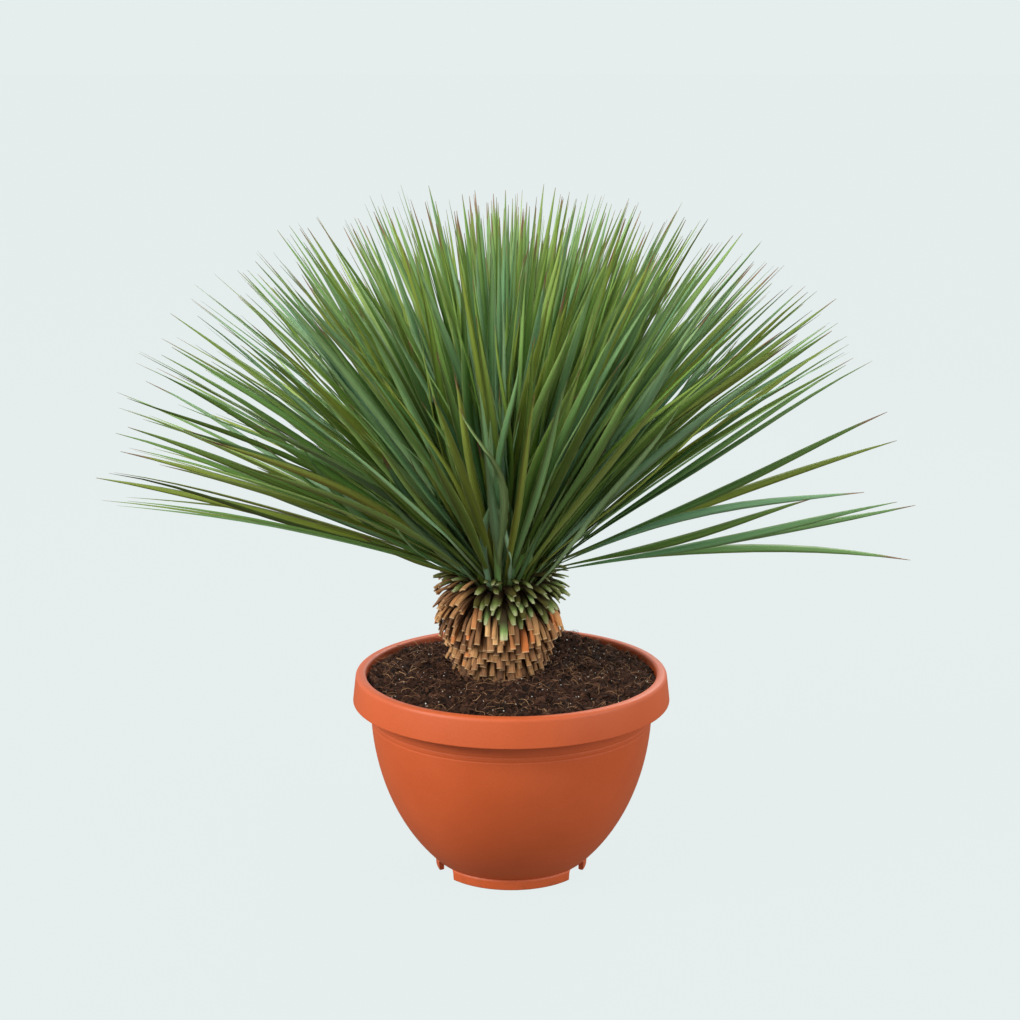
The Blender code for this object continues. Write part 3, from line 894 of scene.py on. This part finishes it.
draws = random.Random(7)
shingles = Paths()
for row in range(SHINGLE_ROWS):
    for number in range(SHINGLES_IN_ROW):
        azimuth = row_azimuth(row, number, SHINGLES_IN_ROW, draws.uniform(-0.2, 0.2))
        pitch = math.radians(-64 + draws.uniform(-12, 10))
        add_stub(
            shingles,
            azimuth,
            SHINGLE_RADIUS + SHINGLE_RADIUS_STEP * row,
            SHINGLE_HEIGHT + SHINGLE_HEIGHT_STEP * row + draws.uniform(-0.0025, 0.0020),
            (pitch, pitch - math.radians(6)),
            SHINGLE_LENGTH + draws.uniform(-0.0035, 0.003),
            draws.uniform(0.75, 1.15),
            tone=min(max(draws.gauss(0.34, 0.2), 0), 0.75),
            dry=1.0,
            roll=draws.uniform(-0.45, 0.45),
            lean=draws.uniform(-0.22, 0.22),
        )
shingle_bases = shingles.swept(
    "cut_leaf_bases", base_section, SHINGLE_WIDTH, SHINGLE_THICKNESS, base_material
)

straps = Paths()
for row in range(STRAP_ROWS):
    for number in range(STRAPS_IN_ROW):
        azimuth = row_azimuth(row, number, STRAPS_IN_ROW, draws.uniform(-0.25, 0.25))
        add_stub(
            straps,
            azimuth,
            STRAP_RADIUS + STRAP_RADIUS_STEP * row,
            STRAP_HEIGHT + STRAP_HEIGHT_STEP * row + draws.uniform(-0.002, 0.002),
            (math.radians(-38 + 8 * row + draws.uniform(-5, 5)), math.radians(-74 + draws.uniform(-7, 7))),
            STRAP_LENGTH + draws.uniform(-0.006, 0.004),
            draws.uniform(0.7, 1.15) * (1 - 0.3 * on_dry_side(azimuth)),
            tone=clipped(draws.gauss(0.60 - 0.3 * on_dry_side(azimuth), 0.26)),
            dry=1.0,
            roll=draws.uniform(-0.6, 0.6),
            lean=draws.uniform(-0.22, 0.22),
        )
strap_bases = straps.swept("dry_leaf_straps", base_section, STRAP_WIDTH, STRAP_THICKNESS, base_material)
for bases in (shingle_bases, strap_bases):
    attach(bases, "root")
    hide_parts("trunk")


# Collar: the newest cut leaf bases are still green, with pale ends. They stand out from the stem
# just below the leaves, and on the plant's left they have dried and fan outward.
COLLAR_X = -0.0105
GREEN_STUBS_IN_ROW = 26
GREEN_WIDTH = 0.0082
GREEN_THICKNESS = 0.0026
BRIGHT_STRAP_AZIMUTH = -86
BRIGHT_STRAP_RADIUS = 0.0560
BRIGHT_STRAP_HEIGHT = 0.3080
BRIGHT_STRAP_LENGTH = 0.034
GREEN_ROWS = (
    (0.0460, 0.3110, -24, -56, 0.027),
    (0.0455, 0.3145, -18, -50, 0.027),
    (0.0450, 0.3180, -12, -42, 0.028),
    (0.0440, 0.3215, -6, -33, 0.029),
    (0.0425, 0.3255, 0, -24, 0.031),
    (0.0400, 0.3300, 8, -16, 0.032),
    (0.0360, 0.3345, 16, -8, 0.032),
)
draws = random.Random(11)
greens = Paths()
for row, (radius, height, first, last, usual_length) in enumerate(GREEN_ROWS):
    for number in range(GREEN_STUBS_IN_ROW):
        azimuth = row_azimuth(row, number, GREEN_STUBS_IN_ROW, draws.uniform(-0.45, 0.45))
        dryness = on_dry_side(azimuth) * (1.0 if row < 5 else 0.25)
        dry = 1.0 if draws.random() < dryness else 0.0
        sag = 12 * dry * draws.random()
        add_stub(
            greens,
            azimuth,
            radius,
            height + draws.uniform(-0.0022, 0.0022),
            (math.radians(first + draws.uniform(-8, 8)), math.radians(last - sag + draws.uniform(-16, 12))),
            usual_length * (1 + 0.15 * dry) + draws.uniform(-0.007, 0.006),
            draws.uniform(0.75, 1.15) * (1 - 0.35 * dry * draws.random()),
            tone=draws.uniform(0.0, 0.7) if dry else clipped(draws.gauss(0.66 - 0.06 * row, 0.28)),
            dry=dry,
            roll=draws.uniform(-0.6, 0.6),
            lean=draws.uniform(-0.3, 0.3),
            taper=0.5 * (1 - dry),
            middle=COLLAR_X if row > 1 else TRUNK_X,
        )
add_stub(
    greens,
    math.radians(BRIGHT_STRAP_AZIMUTH),
    BRIGHT_STRAP_RADIUS,
    BRIGHT_STRAP_HEIGHT,
    (math.radians(-30), math.radians(-84)),
    BRIGHT_STRAP_LENGTH,
    1.05,
    tone=1.0,
)
collar = greens.swept("green_leaf_bases", base_section, GREEN_WIDTH, GREEN_THICKNESS, base_material)
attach(collar, "root")
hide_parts("green_collar")
bpy.data.objects.remove(base_section)


# Leaves: several hundred stiff, narrow leaves that grow from the crown in a spiral. Each is keeled
# below, turns over along its length and ends in a fine dry tip. Seven stand out low on the right.
CROWN_X = -0.009
CROWN_RADIUS = 0.047
CROWN_HEIGHT = 0.032
CROWN_BASE = 0.3303
ROOT_DEPTH = 0.8
LOWEST_ROOT = 0.08
LEAF_COUNT = 384
MORE_LEAVES = 320
LEAF_LENGTH = 0.385
LEAF_WIDTH = 0.0100
LEAF_THICKNESS = 0.0021
LEAF_STRETCHES = 12
WIDEST_AT = 0.45
GOLDEN_ANGLE = math.pi * (3 - math.sqrt(5))
LOWEST_RIGHT, LOWEST_BACK, LOWEST_LEFT, LOWEST_FRONT = 33, 36, 12, 37
USUAL_ROLL = 0.6
MOST_ROLL = 0.95
SHORT_LEAVES = 84
SHORT_LENGTHS = (0.32, 0.80)
FOOT_LEAVES = 52
FOOT_LENGTHS = (0.45, 0.95)
FOOT_REACHES = (0.034, 0.041)
FOOT_HEIGHTS = (0.318, 0.330)
LEAF_WAVE = 0.085
LEAF_SECTION = ((-0.5, 0.0), (0.0, -0.22), (0.5, 0.0), (0.22, -0.62), (0.0, -1.0), (-0.22, -0.62))
OLIVE_COLOURS = ((0.0, paint(74, 84, 14)), (0.5, paint(120, 136, 46)), (1.0, paint(164, 178, 82)))
GREEN_COLOURS = ((0.0, paint(58, 90, 22)), (0.5, paint(98, 142, 64)), (1.0, paint(146, 184, 112)))
BLUE_COLOURS = ((0.0, paint(62, 102, 72)), (0.5, paint(104, 152, 118)), (1.0, paint(156, 196, 162)))
STRAY_LEAVES = (
    (-2, 25.5, 2, 0.416),
    (6, 19, 7.5, 0.423),
    (-24, 19, 17.5, 0.386),
    (2, 15, 0, 0.312),
    (-12, 14.5, 1, 0.397),
    (4, 9.5, -2.5, 0.424),
    (-4, 3.5, 24.5, 0.408),
)


def lowest_elevation(azimuth):
    """How far above level the leaves start, between the values for the four sides."""
    mean = (LOWEST_RIGHT + LOWEST_BACK + LOWEST_LEFT + LOWEST_FRONT) / 4
    right_left = (LOWEST_RIGHT - LOWEST_LEFT) / 2 * math.cos(azimuth)
    back_front = (LOWEST_BACK - LOWEST_FRONT) / 2 * math.sin(azimuth)
    corners = (LOWEST_RIGHT + LOWEST_LEFT - LOWEST_BACK - LOWEST_FRONT) / 4 * math.cos(2 * azimuth)
    return math.radians(mean + right_left + back_front + corners)


def usual_length(elevation):
    return LEAF_LENGTH + 0.010 * math.cos(elevation) + 0.045 * math.sin(2 * elevation)


def leaf_spread(along):
    """Share of the full width: fairly broad at the base, widest near the middle, then a long taper."""
    if along < WIDEST_AT:
        return 0.36 + 0.64 * math.sin(math.pi / 2 * along / WIDEST_AT) ** 1.5
    return max(1 - ((along - WIDEST_AT) / (1 - WIDEST_AT)) ** 2.35, 0.05)


def crown_point(azimuth, rise):
    reach = ROOT_DEPTH * CROWN_RADIUS * math.sqrt(1 - rise * rise)
    height = CROWN_BASE + ROOT_DEPTH * CROWN_HEIGHT * rise
    return Vector((CROWN_X + reach * math.cos(azimuth), reach * math.sin(azimuth), height))


def add_leaf(paths, root, azimuth, elevation, bend, length, roll, sway, broad=0.0, size=1.0, **same):
    """A centre line that bends outward and waves a little, and a roll that is complete by its middle."""
    point = root.copy()
    points = [root]
    side_wave, up_wave = waves.gauss(0, LEAF_WAVE), waves.gauss(0, LEAF_WAVE / 2)
    for number in range(LEAF_STRETCHES):
        middle = (number + 0.5) / LEAF_STRETCHES
        swing = math.sin(math.tau * middle)
        turn = azimuth + sway * middle + side_wave * swing
        lift = elevation + bend * (0.5 - middle) + up_wave * swing
        level = length / LEAF_STRETCHES * math.cos(lift)
        up = length / LEAF_STRETCHES * math.sin(lift)
        point += Vector((level * math.cos(turn), level * math.sin(turn), up))
        points.append(point.copy())
    alongs = [number / LEAF_STRETCHES for number in range(LEAF_STRETCHES + 1)]
    rolls = [roll * clipped(2.4 * along - 0.2) for along in alongs]
    spreads = [size * max(leaf_spread(along), broad * (1 - 1.5 * along)) for along in alongs]
    paths.add(points, rolls, spreads, alongs, **same)


def leaf_material():
    """Olive to blue-green, with paler margins, fine lengthwise lines and a brown tip, painted backlight
    that makes the ends of upright leaves yellower, and painted shade that darkens the bases.
    """
    finish = Finish("yucca leaf", 0.5, 0.35)
    along, across, tone = (finish.number(part) for part in ("along", "across", "tone"))
    olive, green, blue = (
        finish.ramp(tone, *colours) for colours in (OLIVE_COLOURS, GREEN_COLOURS, BLUE_COLOURS)
    )
    hue = finish.number("blue")
    colour = finish.blend(finish.ramp(hue, (0.1, 0.0), (0.45, 1.0)), olive, green)
    colour = finish.blend(finish.ramp(hue, (0.5, 0.0), (0.9, 1.0)), colour, blue)
    # Painted backlight: the ends of upright leaves are tinted a brighter yellow-green, as if lit through
    # from behind.
    painted_backlight = finish.reckon("MULTIPLY", finish.ramp(along, (0.4, 0.0), (0.92, 0.6)), finish.number("light"))
    colour = finish.blend(painted_backlight, colour, paint(154, 176, 84))
    place = lengthwise(finish, 0.25, 25.0)
    lines = finish.speckle(place, 14.0, 3.0)
    patches = finish.speckle(finish.stretched(place, (0.1, 1.0, 1.0)), 9.0, 2.0)
    colour = finish.blend(0.45, colour, finish.ramp(lines, (0.3, 0.25), (0.7, 0.75)), "OVERLAY")
    colour = finish.blend(0.3, colour, finish.ramp(patches, (0.3, 0.3), (0.7, 0.7)), "OVERLAY")
    edge = finish.ramp(finish.reckon("ABSOLUTE", across, 0.0), (0.40, 0.0), (0.48, 0.5))
    colour = finish.blend(edge, colour, paint(180, 190, 118))
    # Painted shade: the leaves are darker olive towards their bases, as shade inside the crown.
    base = finish.ramp(along, (0.0, 0.9), (0.16, 0.0))
    colour = finish.blend(base, colour, paint(92, 92, 28))
    past_green = finish.reckon("SUBTRACT", along, finish.number("dry"))
    tip = finish.ramp(finish.reckon("ADD", past_green, 0.5), (0.5, 0.0), (0.54, 1.0))
    colour = finish.blend(tip, colour, paint(140, 108, 82))
    return finish.finish(colour, lines, 0.0004, finish.ramp(patches, (0.3, 0.42), (0.7, 0.58)))


def leaf_looks(looks, elevation):
    """Draws a leaf's colour: how light, how blue, where its brown tip starts, and how much painted
    backlight its end gets.
    """
    upright = elevation / (math.pi / 2)
    return {
        "tone": clipped(looks.gauss(0.5, 0.27)),
        "blue": clipped(looks.gauss(0.36 + 0.26 * upright, 0.30)),
        "dry": 0.97 - 0.07 * looks.random() ** 3,
        # Painted backlight: how strongly the leaf's end is tinted as if lit through, more for upright
        # leaves.
        "light": 0.15 + 0.85 * upright * looks.uniform(0.3, 1.0),
    }


draws = random.Random(2)
looks = random.Random(41)
waves = random.Random(17)
leaves = Paths()
for number in range(LEAF_COUNT):
    azimuth = number * GOLDEN_ANGLE + draws.uniform(-0.06, 0.06)
    lowest = math.sin(lowest_elevation(azimuth))
    share = (number + 0.5) / LEAF_COUNT
    elevation = math.asin(lowest + (1 - lowest) * share) + draws.uniform(-0.025, 0.025)
    rise = LOWEST_ROOT + (1 - LOWEST_ROOT) * share
    bend = math.radians(5 + 9 * math.cos(elevation)) * draws.uniform(0.8, 1.2)
    length = usual_length(elevation) * draws.uniform(0.93, 1.005)
    roll = min(max(draws.gauss(0, USUAL_ROLL), -MOST_ROLL), MOST_ROLL)
    sway = draws.uniform(-0.03, 0.03)
    root = crown_point(azimuth, rise)
    add_leaf(leaves, root, azimuth, elevation, bend, length, roll, sway, **leaf_looks(looks, elevation))
for degrees_round, degrees_up, degrees_bent, length in STRAY_LEAVES:
    elevation = math.radians(degrees_up)
    azimuth, bend = math.radians(degrees_round), math.radians(degrees_bent)
    root = crown_point(azimuth, LOWEST_ROOT + elevation / 2)
    add_leaf(leaves, root, azimuth, elevation, bend, length, MOST_ROLL, 0.0, **leaf_looks(looks, elevation))

# More leaves inside the head, with only a few low at the sides, where the head is open.
young = Paths()
for number in range(MORE_LEAVES):
    azimuth = number * GOLDEN_ANGLE + 1.3 + looks.uniform(-0.3, 0.3)
    lowest = math.sin(lowest_elevation(azimuth))
    share = (number + 0.5) / MORE_LEAVES
    elevation = math.asin(lowest + (1 - lowest) * share**0.55) + looks.uniform(-0.04, 0.06)
    root = crown_point(azimuth, LOWEST_ROOT + (1 - LOWEST_ROOT) * share)
    bend = math.radians(5 + 9 * math.cos(elevation)) * looks.uniform(0.3, 1.8)
    length = usual_length(elevation) * looks.uniform(0.72 + 0.16 * share, 0.995)
    roll = looks.gauss(0, 0.9)
    sway = looks.gauss(0, 0.16)
    size = looks.uniform(0.7, 1.05)
    finished = leaf_looks(looks, elevation)
    sideways = abs(math.cos(azimuth)) > 0.6 and elevation < lowest_elevation(azimuth) + 0.45
    if not sideways or (number % 3 == 0 and math.cos(azimuth) > 0):
        add_leaf(young, root, azimuth, elevation, bend, length, roll, sway, size=size, **finished)
# Short, curved leaves outside the others, some of them dry for a fifth of their length.
for number in range(SHORT_LEAVES):
    azimuth = looks.uniform(0, math.tau)
    root = crown_point(azimuth, looks.uniform(0, 0.15))
    elevation = lowest_elevation(azimuth) + looks.uniform(0.14, 0.55)
    bend = math.radians(looks.uniform(-18, 30))
    length = LEAF_LENGTH * looks.uniform(*SHORT_LENGTHS)
    roll = looks.gauss(0, 1.5)
    sway = looks.uniform(-0.8, 0.8)
    finished = leaf_looks(looks, elevation)
    finished["tone"] = min(finished["tone"] + 0.2, 1)
    if looks.random() < 0.3:
        finished["dry"] = looks.uniform(0.8, 0.9)
    add_leaf(young, root, azimuth, elevation, bend, length, roll, sway, size=0.85, **finished)
# Steep leaves with broad bases, which rise from just inside the green collar.
for number in range(FOOT_LEAVES):
    azimuth = math.tau * (number + looks.uniform(-0.4, 0.4)) / FOOT_LEAVES
    reach = looks.uniform(*FOOT_REACHES)
    height = looks.uniform(*FOOT_HEIGHTS)
    root = Vector((COLLAR_X + reach * math.cos(azimuth), reach * math.sin(azimuth), height))
    elevation = looks.uniform(max(lowest_elevation(azimuth) + 0.1, 0.75), 1.25)
    bend = math.radians(looks.uniform(-14, 14))
    length = LEAF_LENGTH * looks.uniform(*FOOT_LENGTHS)
    roll = looks.uniform(-0.6, 0.6)
    sway = looks.uniform(-0.9, 0.9)
    finished = leaf_looks(looks, elevation)
    size = looks.uniform(0.7, 1.0)
    add_leaf(young, root, azimuth, elevation, bend, length, roll, sway, broad=0.9, size=size, **finished)

leaf_finish = leaf_material()
leaf_section = section_object("leaf section", LEAF_SECTION)
for name, paths in (("leaves", leaves), ("young_leaves", young)):
    head = paths.swept(name, leaf_section, LEAF_WIDTH, LEAF_THICKNESS, leaf_finish)
    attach(head, "root")
    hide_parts("leaf_head")
bpy.data.objects.remove(leaf_section)


# Studio: a plain pale floor under soft light, the main light high on the left, and the camera at
# the photograph's height and distance, looking a little down.
STUDIO_COLOUR = paint(229, 238, 237)
CAMERA_PLACE = (0, -2.223, 0.913)
CAMERA_PITCH = 12.84
CAMERA_LENS = 2099 * 36 / 1020
CAMERA_SHIFT = -1.3 / 1020
FLOOR_REACH = 45
FLOOR_BASE = (0.015, 0.015, 0.015, 1.0)
FLOOR_GLOW = 0.977
BELOW_HORIZON = (0.42, (0.25, 0.20, 0.16, 1.0))
ABOVE_HORIZON = (0.485, STUDIO_COLOUR)
SOFTBOXES = (
    ("main softbox", (-2.6, -1.5, 2.1), 0.35, 1.6, 118, (1.0, 0.97, 0.92)),
    ("side softbox", (2.3, -1.0, 1.3), 0.2, 1.6, 27, (1.0, 0.98, 0.95)),
    ("rear softbox", (0.9, 2.2, 2.2), 0.5, 1.4, 45, (1.0, 0.99, 0.94)),
)

floor_mesh = bpy.data.meshes.new("floor")
far = FLOOR_REACH
floor_mesh.from_pydata([(-far, -far, 0), (far, -far, 0), (far, far, 0), (-far, far, 0)], [], [(0, 1, 2, 3)])
floor_finish = Finish("studio floor", 1.0, 0.0)
floor_finish.shader.inputs["Base Color"].default_value = FLOOR_BASE
floor_finish.shader.inputs["Emission Color"].default_value = STUDIO_COLOUR
floor_finish.shader.inputs["Emission Strength"].default_value = FLOOR_GLOW
floor = new_object("studio_floor", floor_mesh, floor_finish.material)
floor.visible_diffuse = False
floor.visible_glossy = False

world = bpy.data.worlds.new("studio")
world.use_nodes = True
tree = world.node_tree
sky = tree.nodes["Background"]
direction = add_node(tree, "ShaderNodeTexCoord", {}, {}).outputs["Generated"]
upright = add_node(tree, "ShaderNodeSeparateXYZ", {0: direction}, {}).outputs["Z"]
upward = add_node(tree, "ShaderNodeMapRange", {"Value": upright, "From Min": -1.0}, {})
horizon = add_node(tree, "ShaderNodeValToRGB", {"Fac": upward.outputs["Result"]}, {})
for element, (position, colour) in zip(horizon.color_ramp.elements, (BELOW_HORIZON, ABOVE_HORIZON)):
    element.position = position
    element.color = colour
tree.links.new(horizon.outputs["Color"], sky.inputs["Color"])
bpy.context.scene.world = world

for name, place, aim_height, size, watts, colour in SOFTBOXES:
    lamp = bpy.data.lights.new(name, "AREA")
    lamp.shape = "SQUARE"
    lamp.size = size
    lamp.energy = watts
    lamp.color = colour
    holder = new_object(name, lamp)
    holder.location = place
    aim = Vector((0, 0, aim_height)) - holder.location
    holder.rotation_euler = aim.to_track_quat("-Z", "Y").to_euler()

scene = bpy.context.scene
scene.view_settings.view_transform = "Standard"
camera = new_object("camera", bpy.data.cameras.new("camera"))
camera.location = CAMERA_PLACE
camera.rotation_euler = (math.radians(90 - CAMERA_PITCH), 0, 0)
camera.data.lens = CAMERA_LENS
camera.data.sensor_width = 36
camera.data.shift_x = CAMERA_SHIFT
scene.camera = camera
